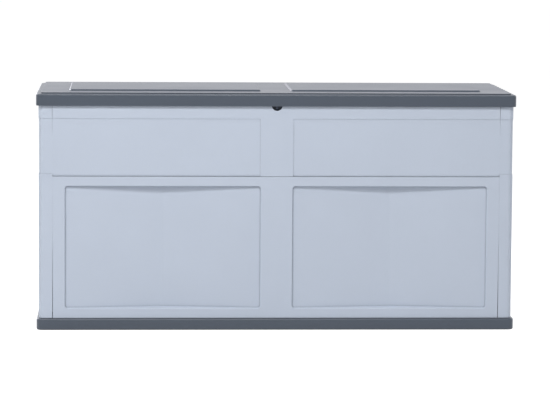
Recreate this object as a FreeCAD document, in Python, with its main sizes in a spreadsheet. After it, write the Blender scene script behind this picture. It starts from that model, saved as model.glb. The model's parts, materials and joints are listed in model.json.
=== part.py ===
import FreeCAD, Part
import math
import os
import re
import Sketcher

# Garden storage box: a base tray, four walls of two mouldings each, and a hinged lid.
# Origin: centre of the footprint on the ground. X runs along the box, the front faces -Y, Z is up.

# Driving dimensions, in millimetres
SIZES = (
    ("overall_length", 1190.0),
    ("overall_depth", 460.0),
    # how far a cut runs past the face it starts from, and the least corner of an inner outline
    ("overrun", 1.0),
    ("bevel_overrun", 0.2),
    ("least_corner", 0.5),
    # base tray
    ("base_height", 28.5),
    ("base_corner", 15.0),
    ("base_top_round", 4.0),
    ("base_foot_round", 4.0),
    ("base_skirt", 3.2),
    ("base_plate", 3.5),
    ("under_rib", 2.6),
    ("under_rib_pitch", 96.0),
    ("foot_pad", 56.0),
    ("rim_height", 16.0),
    ("rim_wall", 3.0),
    ("rim_clearance", 0.4),
    # walls
    ("wall_inset", 6.0),
    ("wall_corner", 12.0),
    ("wall_skin", 3.0),
    ("lower_height", 354.5),
    ("upper_height", 201.0),
    ("post_step", 5.5),
    ("post_width", 34.0),
    ("level_seam_line", 1.0),
    ("level_seam_depth", 4.0),
    ("post_seam_line", 0.3),
    ("post_seam_depth", 1.5),
    ("post_gap_foot", 1.7),
    ("post_gap_depth", 8.0),
    ("post_gap_height", 210.0),
    ("post_gap_head", 1.3),
    ("post_gap_drop", 100.0),
    ("foot_gap", 1.2),
    ("foot_gap_depth", 2.0),
    ("flange_depth", 18.0),
    ("flange_wall", 3.0),
    ("rib_step_slope", 2.0),
    ("stiff_rib", 2.5),
    ("stiff_rib_depth", 14.0),
    ("stiff_rib_pitch", 95.0),
    # folded recesses of the lower walls
    ("stile_half", 40.0),
    ("recess_end_margin", 31.2),
    ("recess_foot_margin", 25.5),
    ("recess_head_margin", 24.5),
    ("recess_corner", 7.5),
    ("recess_edge_depth", 5.0),
    ("recess_fold_depth", 14.5),
    ("recess_sill_rise", 4.4),
    ("side_fold_depth", 12.0),
    ("recess_bevel", 1.5),
    # shallow fields of the upper walls
    ("field_depth", 1.2),
    ("field_step", 0.8),
    ("field_head_margin", 57.5),
    ("field_slope", 9.0),
    ("field_foot_fall", 1.0),
    ("field_stile_half", 40.5),
    # hand grips in the upper side walls
    ("grip_length", 120.0),
    ("grip_mouth", 32.0),
    ("grip_depth", 24.0),
    ("grip_lip", 14.0),
    ("grip_corner", 9.0),
    ("grip_below_field_head", 34.0),
    # lid
    ("lid_clearance", 0.3),
    ("lid_wall", 3.2),
    ("lid_skirt", 3.0),
    ("lid_corner", 14.0),
    ("lid_lip_round", 1.0),
    ("lid_edge_round", 3.2),
    ("crown_edge_round", 0.8),
    ("lid_ledge", 12.0),
    ("lid_ledge_slope", 9.0),
    ("lid_ledge_fall", 1.6),
    ("lid_step", 2.6),
    ("skirt_drop", 26.7),
    ("panel_rise", 3.5),
    ("panel_margin", 80.0),
    ("panel_gap", 74.0),
    ("panel_corner", 8.0),
    ("panel_bevel", 3.3),
    ("lid_rib", 2.4),
    ("lid_rib_depth", 13.0),
    ("lid_rib_pitch", 96.0),
    ("lid_rib_front_margin", 28.0),
    ("lid_rib_side_margin", 34.0),
    ("lid_rib_back_margin", 46.0),
    # hinges
    ("hinge_spread", 400.0),
    ("hinge_width", 64.0),
    ("hinge_lift", 2.9),
    ("knuckle_radius", 4.2),
    ("knuckle_clearance", 0.3),
    ("knuckle_gap", 0.4),
    ("centre_knuckle", 27.0),
    ("pin_radius", 2.0),
    ("pin_clearance", 0.05),
    ("pin_head_radius", 3.2),
    ("pin_head", 1.5),
    ("leaf_plate", 2.5),
    ("box_leaf_height", 34.0),
    ("lid_leaf_height", 18.0),
    ("leaf_corner", 4.0),
    ("leaf_screw_spread", 40.0),
    ("leaf_web", 5.0),
    ("leaf_clearance", 0.2),
    ("hinge_pad", 6.0),
    ("hinge_pad_margin", 6.0),
    # lock
    ("lock_radius", 13.5),
    ("lock_rise", 1.9),
    ("lock_slot_clearance", 1.0),
    ("eye_plate", 5.0),
    ("eye_gap", 3.0),
    ("eye_bore", 4.0),
    ("eye_rim", 3.0),
    ("eye_below_skirt", 4.8),
    ("eye_back", 2.4),
    ("eye_back_half", 17.0),
    ("eye_back_drop", 14.5),
    ("eye_foot_length", 44.0),
    ("eye_foot_depth", 24.0),
    ("eye_screw_spread", 28.0),
    ("eye_screw_setback", 15.6),
    # fasteners
    ("screw_radius", 1.9),
    ("screw_head_radius", 3.8),
    ("screw_crown_radius", 2.3),
    ("screw_head", 2.0),
    ("screw_clearance", 0.1),
    ("box_screw_length", 8.0),
    ("lid_screw_length", 5.0),
    ("corner_screw_length", 9.0),
    ("corner_screw_low", 88.0),
    ("corner_screw_high", 282.0),
    ("foot_screw_length", 18.0),
    ("eye_screw_length", 4.8),
    ("boss_radius", 5.0),
    ("boss_inset", 12.5),
    ("side_boss_shift", 16.0),
    ("peg_radius", 3.0),
    ("peg_head_radius", 5.5),
    ("peg_head", 2.0),
    ("peg_tip", 4.0),
    ("peg_barb_radius", 3.5),
    ("peg_tip_radius", 1.8),
)

doc = FreeCAD.newDocument("garden_storage_box")
sheet = doc.addObject("Spreadsheet::Sheet", "sizes")
for row, (alias, value) in enumerate(SIZES, start=1):
    sheet.set(f"A{row}", alias)
    sheet.set(f"B{row}", str(value))
    sheet.setAlias(f"B{row}", alias)
doc.recompute()
ALIASES = {alias for alias, _ in SIZES}
WORD = re.compile(r"[a-z][a-z0-9_]*")
TOLERANCE = 0.01

# Places of the pegs, in rib pitches from a wall's middle, and of the foot pads, in under-rib pitches
LONG_PEG_STEPS = (-3.5, -1.5, 1.5, 3.5)
SHORT_PEG_STEPS = (-1.5, 1.5)
FOOT_PAD_STEPS = (-5, 0, 5)


def bound(text):
    """The expression text with each alias written as a cell of the sheet."""
    return WORD.sub(lambda found: "sizes." + found[0] if found[0] in ALIASES else found[0], text)


def number(text):
    """The present value of an expression, in millimetres."""
    return float(sheet.evalExpression(text))


def minus(text):
    return f"(-1 * {text})"


def ordered(first, second):
    """The two expressions as a (low, high) pair."""
    return (first, second) if number(first) < number(second) else (second, first)


# Levels and faces that several pieces share
half_length = "(overall_length / 2)"
half_depth = "(overall_depth / 2)"
side_face = f"({half_length} - wall_inset)"
front_face = f"(wall_inset - {half_depth})"
hinge_offset = "(knuckle_radius + knuckle_clearance)"
back_face = f"({half_depth} - lid_skirt - 2 * {hinge_offset})"
wall_middle = f"(({front_face} + {back_face}) / 2)"
seam_x = f"({side_face} - post_width)"
seam_z = "(base_height + lower_height)"
post_seam_z = f"({seam_z} + post_step)"
wall_top = f"({seam_z} + upper_height)"
field_head = f"({wall_top} - field_head_margin)"
lid_seat = f"({wall_top} + lid_clearance)"
ledge_top = f"({lid_seat} + lid_wall)"
lid_top = f"({ledge_top} + lid_step)"
lid_under = f"({lid_top} - lid_wall)"
skirt_foot = f"({lid_seat} - skirt_drop)"
hinge_y = f"({back_face} + {hinge_offset})"
hinge_z = f"({skirt_foot} + hinge_lift)"
recess_foot = "(base_height + recess_foot_margin)"
recess_head = f"({seam_z} - recess_head_margin)"
recess_end = f"({seam_x} - recess_end_margin)"
sill_slope = "(recess_sill_rise / recess_fold_depth)"
recess_centre = f"((stile_half + {recess_end}) / 2)"
recess_half = f"(({recess_end} - stile_half) / 2)"
side_recess_half = f"(({back_face} - {front_face}) / 2 - post_width - recess_end_margin)"

VIEWS = {
    "plan": FreeCAD.Rotation(),
    "front": FreeCAD.Rotation(FreeCAD.Vector(1, 0, 0), 90),
    "side": FreeCAD.Rotation(FreeCAD.Vector(1, 1, 1), 120),
}
ORIGIN_PLANES = {"plan": "XY_Plane", "front": "XZ_Plane", "side": "YZ_Plane"}
NORMAL_AXES = {"plan": "z", "front": "y", "side": "x"}


# Sketches
def pin_point(sketch, geometry, point, across, up):
    """Ties a point of the sketch to its place, measured from the sketch's origin."""
    for kind, text in (("DistanceX", across), ("DistanceY", up)):
        place = Sketcher.Constraint(kind, -1, 1, geometry, point, number(text))
        index = sketch.addConstraint(place)
        sketch.setExpression(f"Constraints[{index}]", bound(text))


def draw_polygon(sketch, corners):
    """A closed outline through corners, each a pair of expressions."""
    spots = [FreeCAD.Vector(number(across), number(up), 0) for across, up in corners]
    first = sketch.GeometryCount
    count = len(spots)
    for index in range(count):
        sketch.addGeometry(Part.LineSegment(spots[index], spots[(index + 1) % count]))
    for index in range(count):
        after = first + (index + 1) % count
        sketch.addConstraint(Sketcher.Constraint("Coincident", first + index, 2, after, 1))
    for index, (across, up) in enumerate(corners):
        pin_point(sketch, first + index, 1, across, up)


def draw_rectangle(sketch, across, up):
    """A rectangle between the (low, high) pairs across and up."""
    draw_polygon(sketch, [(across[0], up[0]), (across[1], up[0]), (across[1], up[1]), (across[0], up[1])])


def draw_rounded(sketch, across, up, radius):
    """A rectangle between the (low, high) pairs across and up, with round corners."""
    left, right = (number(text) for text in across)
    low, high = (number(text) for text in up)
    turn = number(radius)
    first = sketch.GeometryCount
    sides = (
        ((left + turn, low), (right - turn, low)),
        ((right, low + turn), (right, high - turn)),
        ((right - turn, high), (left + turn, high)),
        ((left, high - turn), (left, low + turn)),
    )
    centres = (
        (right - turn, low + turn),
        (right - turn, high - turn),
        (left + turn, high - turn),
        (left + turn, low + turn),
    )
    for index in range(4):
        start, end = (FreeCAD.Vector(*spot, 0) for spot in sides[index])
        sketch.addGeometry(Part.LineSegment(start, end))
        circle = Part.Circle(FreeCAD.Vector(*centres[index], 0), FreeCAD.Vector(0, 0, 1), turn)
        begin = (index - 1) * math.pi / 2
        sketch.addGeometry(Part.ArcOfCircle(circle, begin, begin + math.pi / 2))
    for index in range(4):
        line = first + 2 * index
        after = first + (2 * index + 2) % 8
        sketch.addConstraint(Sketcher.Constraint("Tangent", line, 2, line + 1, 1))
        sketch.addConstraint(Sketcher.Constraint("Tangent", line + 1, 2, after, 1))
        sketch.addConstraint(Sketcher.Constraint("Vertical" if index % 2 else "Horizontal", line))
    for index in (1, 2, 3):
        sketch.addConstraint(Sketcher.Constraint("Equal", first + 1, first + 2 * index + 1))
    size = sketch.addConstraint(Sketcher.Constraint("Radius", first + 1, turn))
    sketch.setExpression(f"Constraints[{size}]", bound(radius))
    edges = (
        ("DistanceY", 0, up[0]),
        ("DistanceX", 2, across[1]),
        ("DistanceY", 4, up[1]),
        ("DistanceX", 6, across[0]),
    )
    for kind, offset, text in edges:
        place = Sketcher.Constraint(kind, -1, 1, first + offset, 1, number(text))
        index = sketch.addConstraint(place)
        sketch.setExpression(f"Constraints[{index}]", bound(text))


def draw_circle(sketch, across, up, radius):
    centre = FreeCAD.Vector(number(across), number(up), 0)
    ring = sketch.addGeometry(Part.Circle(centre, FreeCAD.Vector(0, 0, 1), number(radius)))
    size = sketch.addConstraint(Sketcher.Constraint("Radius", ring, number(radius)))
    sketch.setExpression(f"Constraints[{size}]", bound(radius))
    pin_point(sketch, ring, 3, across, up)


def free_sketch(name, view, height):
    """A sketch in one of the three views, at a height along that view's axis."""
    sketch = doc.addObject("Sketcher::SketchObject", name)
    sketch.Placement = FreeCAD.Placement(FreeCAD.Vector(), VIEWS[view])
    sketch.setExpression("Placement.Base." + NORMAL_AXES[view], bound(height))
    return sketch


def prism(name, view, span, draw, *shape):
    """A solid drawn by draw in one view and carried along that view's axis over span."""
    low, high = span
    sketch = free_sketch(name + "_outline", view, low)
    draw(sketch, *shape)
    solid = doc.addObject("Part::Extrusion", name)
    solid.Base = sketch
    solid.DirMode = "Custom"
    axis = NORMAL_AXES[view]
    solid.Dir = FreeCAD.Vector(axis == "x", axis == "y", axis == "z")
    solid.Solid = True
    solid.setExpression("LengthFwd", bound(f"({high}) - ({low})"))
    return solid


# Solids and what joins them
def block(name, across, along, up):
    """A plain box between three (low, high) pairs, in X, Y and Z."""
    box = doc.addObject("Part::Box", name)
    for axis, size, (low, high) in zip("xyz", ("Length", "Width", "Height"), (across, along, up)):
        box.setExpression("Placement.Base." + axis, bound(low))
        box.setExpression(size, bound(f"({high}) - ({low})"))
    return box


def fused(name, parts):
    whole = doc.addObject("Part::MultiFuse", name)
    whole.Shapes = parts
    whole.Refine = True
    return whole


def shared(name, parts):
    common = doc.addObject("Part::MultiCommon", name)
    common.Shapes = parts
    return common


def cut(name, base, tools):
    """The base with each of the tools taken away."""
    result = doc.addObject("Part::Cut", name)
    result.Base = base
    result.Tool = tools[0] if len(tools) == 1 else fused(name + "_tools", tools)
    return result


def wall_plan(inset, corner):
    """The plan of the four walls, drawn in by inset, as arguments for draw_rounded."""
    across = (f"{minus(side_face)} + {inset}", f"{side_face} - {inset}")
    along = (f"{front_face} + {inset}", f"{back_face} - {inset}")
    return across, along, corner


def wall_prism(name, inset, span):
    corner = f"max(wall_corner - {inset}; least_corner)"
    return prism(name, "plan", span, draw_rounded, *wall_plan(inset, corner))


def wall_ring(name, outer, inner, span):
    """A closed ring that follows the walls, between two insets from their face."""
    low, high = span
    outside = wall_prism(name + "_outside", outer, span)
    inside = wall_prism(name + "_inside", inner, (f"{low} - overrun", f"{high} + overrun"))
    return cut(name, outside, [inside])


def loft(name, sketches):
    solid = doc.addObject("Part::Loft", name)
    solid.Sections = sketches
    solid.Solid = True
    solid.Ruled = True
    return solid


# Folded recesses. A side is where the wall stands; inward is measured from its face.
SIDES = {
    "front": ("front", lambda depth: f"({front_face} + {depth})"),
    "back": ("front", lambda depth: f"({back_face} - {depth})"),
    "left": ("side", lambda depth: f"({minus(side_face)} + {depth})"),
    "right": ("side", lambda depth: f"({side_face} - {depth})"),
}


def folded_block(name, side, centre, half, fold, grow):
    """The space of a recess folded like an open book, or with grow the moulding round it.
    Its sill falls towards the face of the wall."""
    view, inward = SIDES[side]
    low, high = f"({centre} - {half} - {grow})", f"({centre} + {half} + {grow})"
    shallow = minus("overrun") if grow == "0" else "(wall_skin / 2)"
    deep = f"({fold} + {grow} + overrun)"
    near, far = inward(shallow), inward(deep)
    span = ordered(near, far)
    up = (f"{recess_foot} - {grow}", f"{recess_head} + {grow}")
    frame = prism(name + "_frame", view, span, draw_rounded, (low, high), up, f"(recess_corner + {grow})")
    depths = (near, inward(f"(recess_edge_depth + {grow})"), inward(f"({fold} + {grow})"))
    book = [(low, depths[0]), (low, depths[1]), (centre, depths[2]), (high, depths[1]), (high, depths[0])]
    if side in ("left", "right"):
        book = [(across, along) for along, across in book]
    pages = prism(name + "_pages", "plan", up, draw_polygon, book)
    sill = [(near, f"({up[0]} + {sill_slope} * {shallow})"), (far, f"({up[0]} + {sill_slope} * {deep})"),
            (far, up[1]), (near, up[1])]
    end_view = "side" if side in ("front", "back") else "front"
    above_sill = prism(name + "_above_sill", end_view, (low, high), draw_polygon, sill)
    return shared(name, [frame, pages, above_sill])


def recess_mouth(name, side, centre, half):
    """The bevel round the mouth of a recess."""
    view, inward = SIDES[side]
    outlines = []
    rims = ((minus("bevel_overrun"), "(recess_bevel + bevel_overrun)"), ("recess_bevel", "0"))
    for step, (depth, spread) in enumerate(rims):
        sketch = free_sketch(f"{name}_{step}", view, inward(depth))
        across = (f"{centre} - {half} - {spread}", f"{centre} + {half} + {spread}")
        up = (f"{recess_foot} - {spread}", f"{recess_head} + {spread}")
        draw_rounded(sketch, across, up, f"(recess_corner + {spread})")
        outlines.append(sketch)
    return loft(name, outlines)


RECESSES = (
    ("front_left", "front", minus(recess_centre), recess_half, "recess_fold_depth"),
    ("front_right", "front", recess_centre, recess_half, "recess_fold_depth"),
    ("back_left", "back", minus(recess_centre), recess_half, "recess_fold_depth"),
    ("back_right", "back", recess_centre, recess_half, "recess_fold_depth"),
    ("left_side", "left", wall_middle, side_recess_half, "side_fold_depth"),
    ("right_side", "right", wall_middle, side_recess_half, "side_fold_depth"),
)


def make_lower_walls():
    """The four lower walls as one ring, before it is parted into its mouldings."""
    span = ("base_height", post_seam_z)
    parts = [wall_ring("lower_skin", "0", "wall_skin", span)]
    foot = ("(base_height - overrun)", "(base_height + foot_gap)")
    hollows = [wall_ring("foot_gap_ring", minus("overrun"), "foot_gap_depth", foot)]
    for name, side, centre, half, fold in RECESSES:
        parts.append(folded_block(name + "_tub", side, centre, half, fold, "wall_skin"))
        hollows.append(folded_block(name + "_recess", side, centre, half, fold, "0"))
        hollows.append(recess_mouth(name + "_mouth", side, centre, half))
    return cut("lower_walls", fused("lower_walls_full", parts), hollows)


def make_upper_walls():
    """The four upper walls as one ring, with the shallow fields that run round the corners."""
    slope_foot = f"({field_head} - field_slope)"
    foot_inset = "(field_depth + field_foot_fall)"

    def slope(name, levels):
        sections = []
        for step, (inset, height) in enumerate(levels):
            sketch = free_sketch(f"{name}_{step}", "plan", height)
            draw_rounded(sketch, *wall_plan(inset, f"(wall_corner - {inset})"))
            sections.append(sketch)
        return loft(name, sections)

    stile = (minus("field_stile_half"), "field_stile_half")
    parts = [
        wall_prism("head_band", "0", (field_head, wall_top)),
        slope("field_slope", (("field_depth", slope_foot), ("field_step", field_head))),
        wall_prism("field_band", "field_depth", (post_seam_z, slope_foot)),
        slope("field_foot", ((foot_inset, seam_z), ("field_depth", post_seam_z))),
        block("front_stile", stile, (front_face, f"{front_face} + flange_depth"), (seam_z, wall_top)),
        block("back_stile", stile, (f"{back_face} - flange_depth", back_face), (seam_z, wall_top)),
    ]
    step_top = f"({field_head} + wall_skin)"
    hollows = [
        wall_prism("low_hollow", "(wall_skin + field_depth)", (f"{seam_z} - overrun", step_top)),
        wall_prism("high_hollow", "wall_skin", (f"{step_top} - overrun", f"{wall_top} + overrun")),
    ]
    return cut("upper_walls", fused("upper_walls_full", parts), hollows)


# Stiffening of the mouldings
flange_reach = "(wall_skin + flange_depth)"
flange_foot = "(base_height + rim_height + rim_clearance)"
lower_root = "(wall_skin / 2)"
upper_root = "(field_depth + wall_skin / 2)"


def shelf(name, side, root, across, up):
    """A flat flange along the inside of a straight wall."""
    inward = SIDES[side][1]
    return block(name, across, ordered(inward(root), inward(flange_reach)), up)


def upright(name, side, across, depth, up, upper):
    """An upright rib or flange on the inside of a wall, which follows the step of an upper wall."""
    inward = SIDES[side][1]
    foot, head = up
    root = inward(lower_root)
    reach = inward(depth)
    if upper:
        low_root = inward(upper_root)
        outline = [(low_root, foot), (low_root, field_head), (root, f"{field_head} + rib_step_slope")]
    else:
        outline = [(root, foot)]
    outline += [(root, head), (reach, head), (reach, foot)]
    view = "side" if side in ("front", "back") else "front"
    return prism(name, view, across, draw_polygon, outline)


def rib_places(limit):
    """Distances from the middle of a wall at which it has an upright rib."""
    return range(1, int(number(limit) / number("stiff_rib_pitch")) + 1)


def mirrored(low, high):
    return f"({minus(high)})", f"({minus(low)})"


def end_flanges(name, side, up, upper):
    """The upright flanges at both ends of a front or back moulding."""
    span = (f"({seam_x} - flange_wall)", seam_x)
    return [
        upright(name + "_right_flange", side, span, flange_reach, up, upper),
        upright(name + "_left_flange", side, mirrored(*span), flange_reach, up, upper),
    ]


def inner_ribs(name, side, up, upper):
    """Upright ribs at an even pitch to both sides of a wall's middle."""
    ribs = []
    middle = "0" if side in ("front", "back") else wall_middle
    limit = f"{seam_x} - flange_depth" if side in ("front", "back") else side_recess_half
    for place in rib_places(limit):
        for sign in (1, -1):
            centre = f"({middle} + {sign * place} * stiff_rib_pitch)"
            across = (f"{centre} - stiff_rib / 2", f"{centre} + stiff_rib / 2")
            depth = "(wall_skin + stiff_rib_depth)"
            ribs.append(upright(f"{name}_rib_{place}_{'right' if sign > 0 else 'left'}",
                                side, across, depth, up, upper))
    return ribs


# Fasteners
TURNS = {
    "+x": FreeCAD.Rotation(FreeCAD.Vector(0, 1, 0), 90),
    "-x": FreeCAD.Rotation(FreeCAD.Vector(0, 1, 0), -90),
    "+y": FreeCAD.Rotation(FreeCAD.Vector(1, 0, 0), -90),
    "-y": FreeCAD.Rotation(FreeCAD.Vector(1, 0, 0), 90),
    "+z": FreeCAD.Rotation(),
}


def place_at(solid, spot, direction, ahead="0"):
    """Stands a round solid at a spot along a direction, moved ahead along it."""
    solid.Placement = FreeCAD.Placement(FreeCAD.Vector(), TURNS[direction])
    for axis, text in zip("xyz", spot):
        moved = ahead if axis == direction[1] else "0"
        sign = "-" if direction[0] == "-" else "+"
        solid.setExpression("Placement.Base." + axis, bound(f"{text} {sign} {moved}"))


def rod(name, spot, direction, radius, length, ahead="0"):
    solid = doc.addObject("Part::Cylinder", name)
    solid.setExpression("Radius", bound(radius))
    solid.setExpression("Height", bound(length))
    place_at(solid, spot, direction, ahead)
    return solid


def cone(name, spot, direction, radii, length, ahead="0"):
    solid = doc.addObject("Part::Cone", name)
    solid.setExpression("Radius1", bound(radii[0]))
    solid.setExpression("Radius2", bound(radii[1]))
    solid.setExpression("Height", bound(length))
    place_at(solid, spot, direction, ahead)
    return solid


def pan_screw(name, spot, direction, length):
    """A screw whose raised head sits on the spot, its shank along the direction."""
    shank = rod(name + "_shank", spot, direction, "screw_radius", f"{length} + screw_head / 2",
                "-1 * screw_head / 2")
    head = cone(name + "_head", spot, direction, ("screw_crown_radius", "screw_head_radius"),
                "screw_head", "-1 * screw_head")
    return fused(name, [shank, head])


def flush_screw(name, spot, direction, length):
    """A screw whose countersunk head is level with the spot."""
    shank = rod(name + "_shank", spot, direction, "screw_radius", length)
    head = cone(name + "_head", spot, direction, ("screw_head_radius", "screw_radius"),
                "(screw_head_radius - screw_radius)")
    return fused(name, [shank, head])


def clearance_hole(name, spot, direction, length):
    return rod(name, spot, direction, hole_radius, f"({length} + screw_head)", "-1 * screw_head")


def group(name, solids):
    whole = doc.addObject("Part::Compound", name)
    whole.Links = solids
    return whole


# Places of the fasteners
hole_radius = "(screw_radius + screw_clearance)"
corner_inset = "(wall_skin + flange_depth / 2 + field_depth / 2)"
corner_levels = {
    "lower": ("(base_height + corner_screw_low)", "(base_height + corner_screw_high)"),
    "upper": (f"({seam_z} + upper_height / 2)",),
}
peg_inset = f"((wall_skin + field_depth + {flange_reach}) / 2)"


def corner_spots(side, level):
    """Name, spot and direction of each screw through the end flanges of a front or back moulding."""
    along = SIDES[side][1](corner_inset)
    spots = []
    for hand, sign, direction in (("left", "-1", "-x"), ("right", "1", "+x")):
        for step, height in enumerate(corner_levels[level]):
            spot = (f"{sign} * ({seam_x} - flange_wall)", along, height)
            spots.append((f"{side}_{hand}_{level}_{step}", spot, direction))
    return spots


def peg_spots(side):
    """Name and spot of each peg through the seam between two mouldings of a wall."""
    inward = SIDES[side][1]
    if side in ("front", "back"):
        spots = [(f"({step} * stiff_rib_pitch)", inward(peg_inset), seam_z) for step in LONG_PEG_STEPS]
    else:
        spots = [(inward(peg_inset), f"({wall_middle} + {step} * stiff_rib_pitch)", post_seam_z)
                 for step in SHORT_PEG_STEPS]
    return [(f"{side}_peg_{index}", spot) for index, spot in enumerate(spots)]


def foot_spots(side):
    """Name and spot, on the base, of the screw under each recess of a wall, clear of the tray's ribs."""
    spots = []
    inset = SIDES[side][1]("boss_inset")
    for name, where, centre, _, _ in RECESSES:
        if where == side and side in ("front", "back"):
            spots.append((name, (centre, inset, "base_height")))
        elif where == side:
            spots.append((name, (inset, f"({centre} - side_boss_shift)", "base_height")))
    return spots


def peg(name, spot):
    """A push-in peg: a head below the seam's flanges, a shank through them and a pointed tip."""
    across, along, level = spot
    foot = (across, along, f"({level} - flange_wall)")
    head = rod(name + "_head", foot, "+z", "peg_head_radius", "peg_head", "-1 * peg_head")
    shank = rod(name + "_shank", foot, "+z", "peg_radius", "2 * flange_wall")
    tip = cone(name + "_tip", foot, "+z", ("peg_barb_radius", "peg_tip_radius"), "peg_tip",
               "2 * flange_wall")
    return fused(name, [head, shank, tip])


def peg_holes(side):
    holes = []
    for name, (across, along, level) in peg_spots(side):
        foot = (across, along, f"({level} - flange_wall)")
        holes.append(rod(name + "_hole", foot, "+z", "(peg_radius + screw_clearance)",
                         "2 * (flange_wall + overrun)", minus("overrun")))
    return holes


def boss_and_hole(name, spot):
    """A boss under a recess's sill and the hole for the screw that comes up through the base."""
    sill = f"({recess_foot} + {sill_slope} * boss_inset)"
    height = f"({sill} - 2 * wall_skin / 3 - base_height)"
    boss = rod(name + "_boss", spot, "+z", "boss_radius", height)
    hole = rod(name + "_boss_hole", spot, "+z", hole_radius, "foot_screw_length", minus("overrun"))
    return boss, hole


# Grooves along the seams, cut in both neighbours. At each post a gap opens towards the base
# and a finer one towards the lid.
def seam_grooves(side):
    inward = SIDES[side][1]

    def span(depth):
        return ordered(inward(minus("overrun")), inward(depth))

    foot = "(base_height - overrun)"
    up = (foot, f"({wall_top} + overrun)")
    head = up[1]
    grooves = []
    for hand, sign in (("left", "-1"), ("right", "1")):
        middle = f"{sign} * {seam_x}"
        line = (f"({middle} - post_seam_line / 2)", f"({middle} + post_seam_line / 2)")
        grooves.append(block(f"{side}_{hand}_seam", line, span("post_seam_depth"), up))
        gaps = (("foot", foot, "post_gap_foot", "(base_height + post_gap_height)"),
                ("head", head, "post_gap_head", f"({wall_top} - post_gap_drop)"))
        for end, open_level, width, shut_level in gaps:
            gap = [(f"({middle} - {width} / 2)", open_level), (f"({middle} + {width} / 2)", open_level),
                   (line[1], shut_level), (line[0], shut_level)]
            name = f"{side}_{hand}_{end}_gap"
            grooves.append(prism(name, "front", span("post_gap_depth"), draw_polygon, gap))
    level = (f"({seam_z} - level_seam_line / 2)", f"({seam_z} + level_seam_line / 2)")
    grooves.append(block(side + "_level_seam", (minus(seam_x), seam_x), span("level_seam_depth"), level))
    return grooves


# Front and back mouldings
def wall_region(name, side, up):
    """The space that a front or back moulding takes from the ring of walls."""
    inward = SIDES[side][1]
    along = ordered(inward(minus("overrun")), inward(f"(recess_fold_depth + wall_skin + {flange_reach})"))
    return block(name + "_region", (minus(seam_x), seam_x), along, up)


def make_lower_panel(side, walls, grooves):
    name = side + "_lower_panel"
    region = wall_region(name, side, ("base_height", seam_z))
    uprights = (flange_foot, seam_z)
    head = (f"{seam_z} - flange_wall", seam_z)
    parts = [shared(name + "_skin", [walls, region])]
    parts.append(shelf(name + "_shelf", side, lower_root, (minus(seam_x), seam_x), head))
    parts += end_flanges(name, side, uprights, False)
    for sign in ("-1", "1"):
        centre = f"({sign} * stile_half / 2)"
        across = (f"{centre} - stiff_rib / 2", f"{centre} + stiff_rib / 2")
        parts.append(upright(f"{name}_stile_rib_{sign}", side, across, "(wall_skin + stiff_rib_depth)",
                             uprights, False))
    holes = list(grooves) + peg_holes(side)
    for spot_name, spot in foot_spots(side):
        boss, hole = boss_and_hole(spot_name, spot)
        parts.append(boss)
        holes.append(hole)
    for spot_name, spot, direction in corner_spots(side, "lower"):
        holes.append(clearance_hole(spot_name + "_panel_hole", spot, direction, "corner_screw_length"))
    return cut(name, fused(name + "_full", parts), holes)


def lock_opening():
    """The half-round opening for a padlock and the notch in the rim through which the eye comes down."""
    level = f"({skirt_foot} + lock_rise)"
    deep = (f"{front_face} - overrun", f"{front_face} + wall_skin + overrun")
    reach = "(lock_radius + overrun)"
    disc = prism("lock_disc", "front", deep, draw_circle, "0", level, "lock_radius")
    lower = block("lock_half", (minus(reach), reach), deep, (f"{level} - {reach}", level))
    half_notch = "(eye_back_half + lock_slot_clearance)"
    notch = block("lock_notch", (minus(half_notch), half_notch),
                  (f"{front_face} + wall_skin", f"{front_face} + {flange_reach} + overrun"),
                  (f"{wall_top} - flange_wall - overrun", f"{wall_top} + overrun"))
    return [shared("lock_window", [disc, lower]), notch]


hinge_centres = {"left": "(-1 * hinge_spread)", "centre": "0", "right": "hinge_spread"}
leaf_head = f"({hinge_z} + leaf_web / 2)"
leaf_foot = f"({leaf_head} - box_leaf_height)"
box_screw_z = f"({leaf_foot} + box_leaf_height / 2 - leaf_web / 2)"
lid_leaf_y = f"({half_depth} - lid_skirt - leaf_plate)"
lid_leaf_foot = f"({hinge_z} + knuckle_radius + knuckle_gap)"
lid_screw_z = f"({lid_leaf_foot} + lid_leaf_height / 2)"


def leaf_screw_spots(hand, along, height):
    centre = hinge_centres[hand]
    return [(f"{hand}_{index}", (f"({centre} {sign} leaf_screw_spread / 2)", along, height))
            for index, sign in enumerate("-+")]


def hinge_seat(hand):
    """The thick pad behind a hinge leaf in the back wall, and what is cut from it."""
    centre = hinge_centres[hand]
    reach = "(hinge_width / 2 + hinge_pad_margin)"
    pad = block(f"{hand}_hinge_pad", (f"{centre} - {reach}", f"{centre} + {reach}"),
                (f"{back_face} - wall_skin - hinge_pad", f"{back_face} - wall_skin / 2"),
                (f"{leaf_foot} - hinge_pad_margin", f"{leaf_head} + hinge_pad_margin"))
    width = "(hinge_width / 2 + leaf_clearance)"
    pocket = block(f"{hand}_hinge_pocket", (f"{centre} - {width}", f"{centre} + {width}"),
                   (f"{back_face} - leaf_plate", f"{back_face} + overrun"),
                   (f"{leaf_foot} - leaf_clearance", f"{leaf_head} + leaf_clearance"))
    holes = [clearance_hole(f"{name}_pad_hole", spot, "-y", "box_screw_length")
             for name, spot in leaf_screw_spots(hand, back_face, box_screw_z)]
    return pad, [pocket] + holes


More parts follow.
